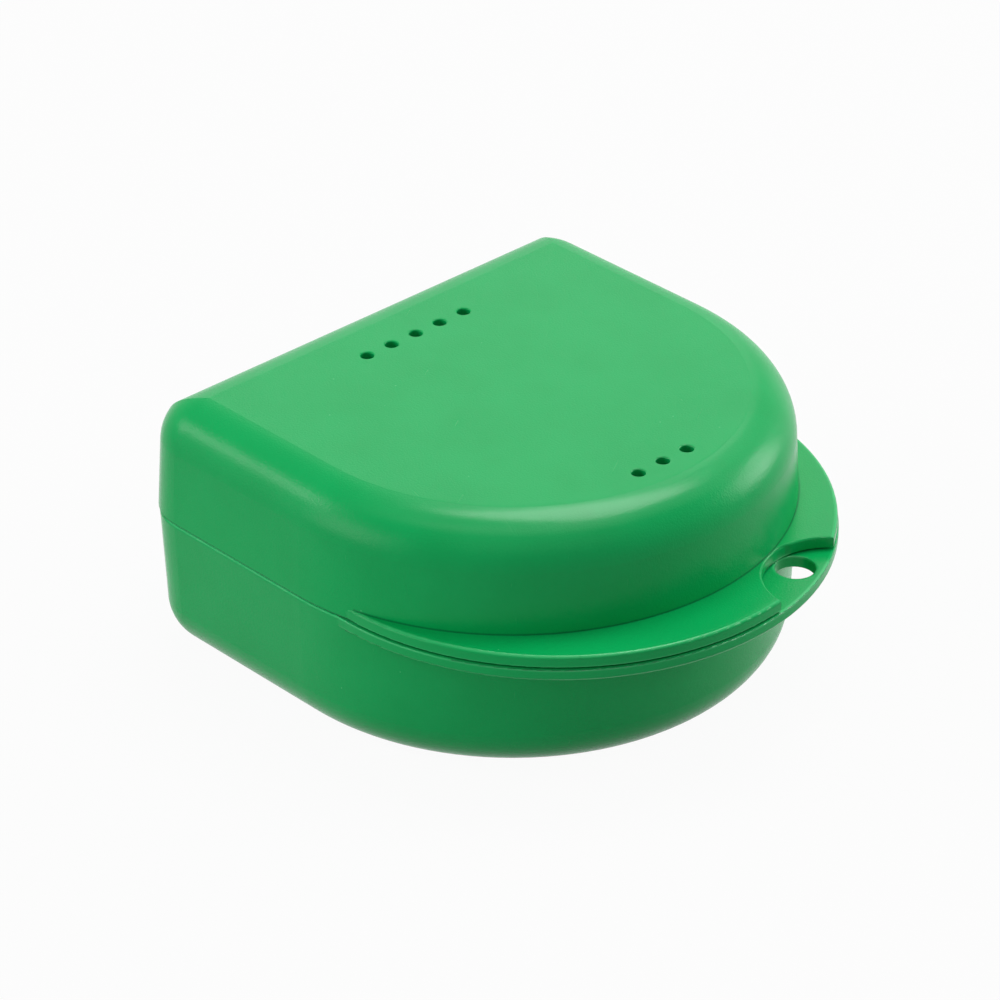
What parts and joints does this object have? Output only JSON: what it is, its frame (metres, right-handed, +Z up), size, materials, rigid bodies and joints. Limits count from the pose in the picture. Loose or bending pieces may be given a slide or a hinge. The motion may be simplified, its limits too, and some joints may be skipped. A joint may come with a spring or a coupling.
{
  "type": "orthodontic retainer case",
  "caption": "Hinged D-shaped moulded plastic case for an orthodontic retainer, with a vented domed lid and front thumb flanges.",
  "frame": {"origin": "middle of the closed case's box, on the plane that it rests on", "axes": "+Z up, -Y towards the rounded front with the thumb flanges, +Y towards the hinge, +X to the side with the hang hole"},
  "size_m": [0.08, 0.0874, 0.039],
  "materials": {
    "green_plastic": "satin moulded polypropylene with a fine spark grain",
    "pin_steel": "plain stainless wire"
  },
  "bodies": {
    "tray_body": {"tray": "green_plastic", "hinge_pin": "pin_steel"},
    "lid_body": {"lid": "green_plastic"}
  },
  "joints": [
    {"name": "lid_hinge", "type": "hinge", "parent": "tray_body", "child": "lid_body", "pos_m": [0, 0.04135, 0.0214], "axis": [-1, 0, 0], "range_deg": [0, 110]}
  ]
}
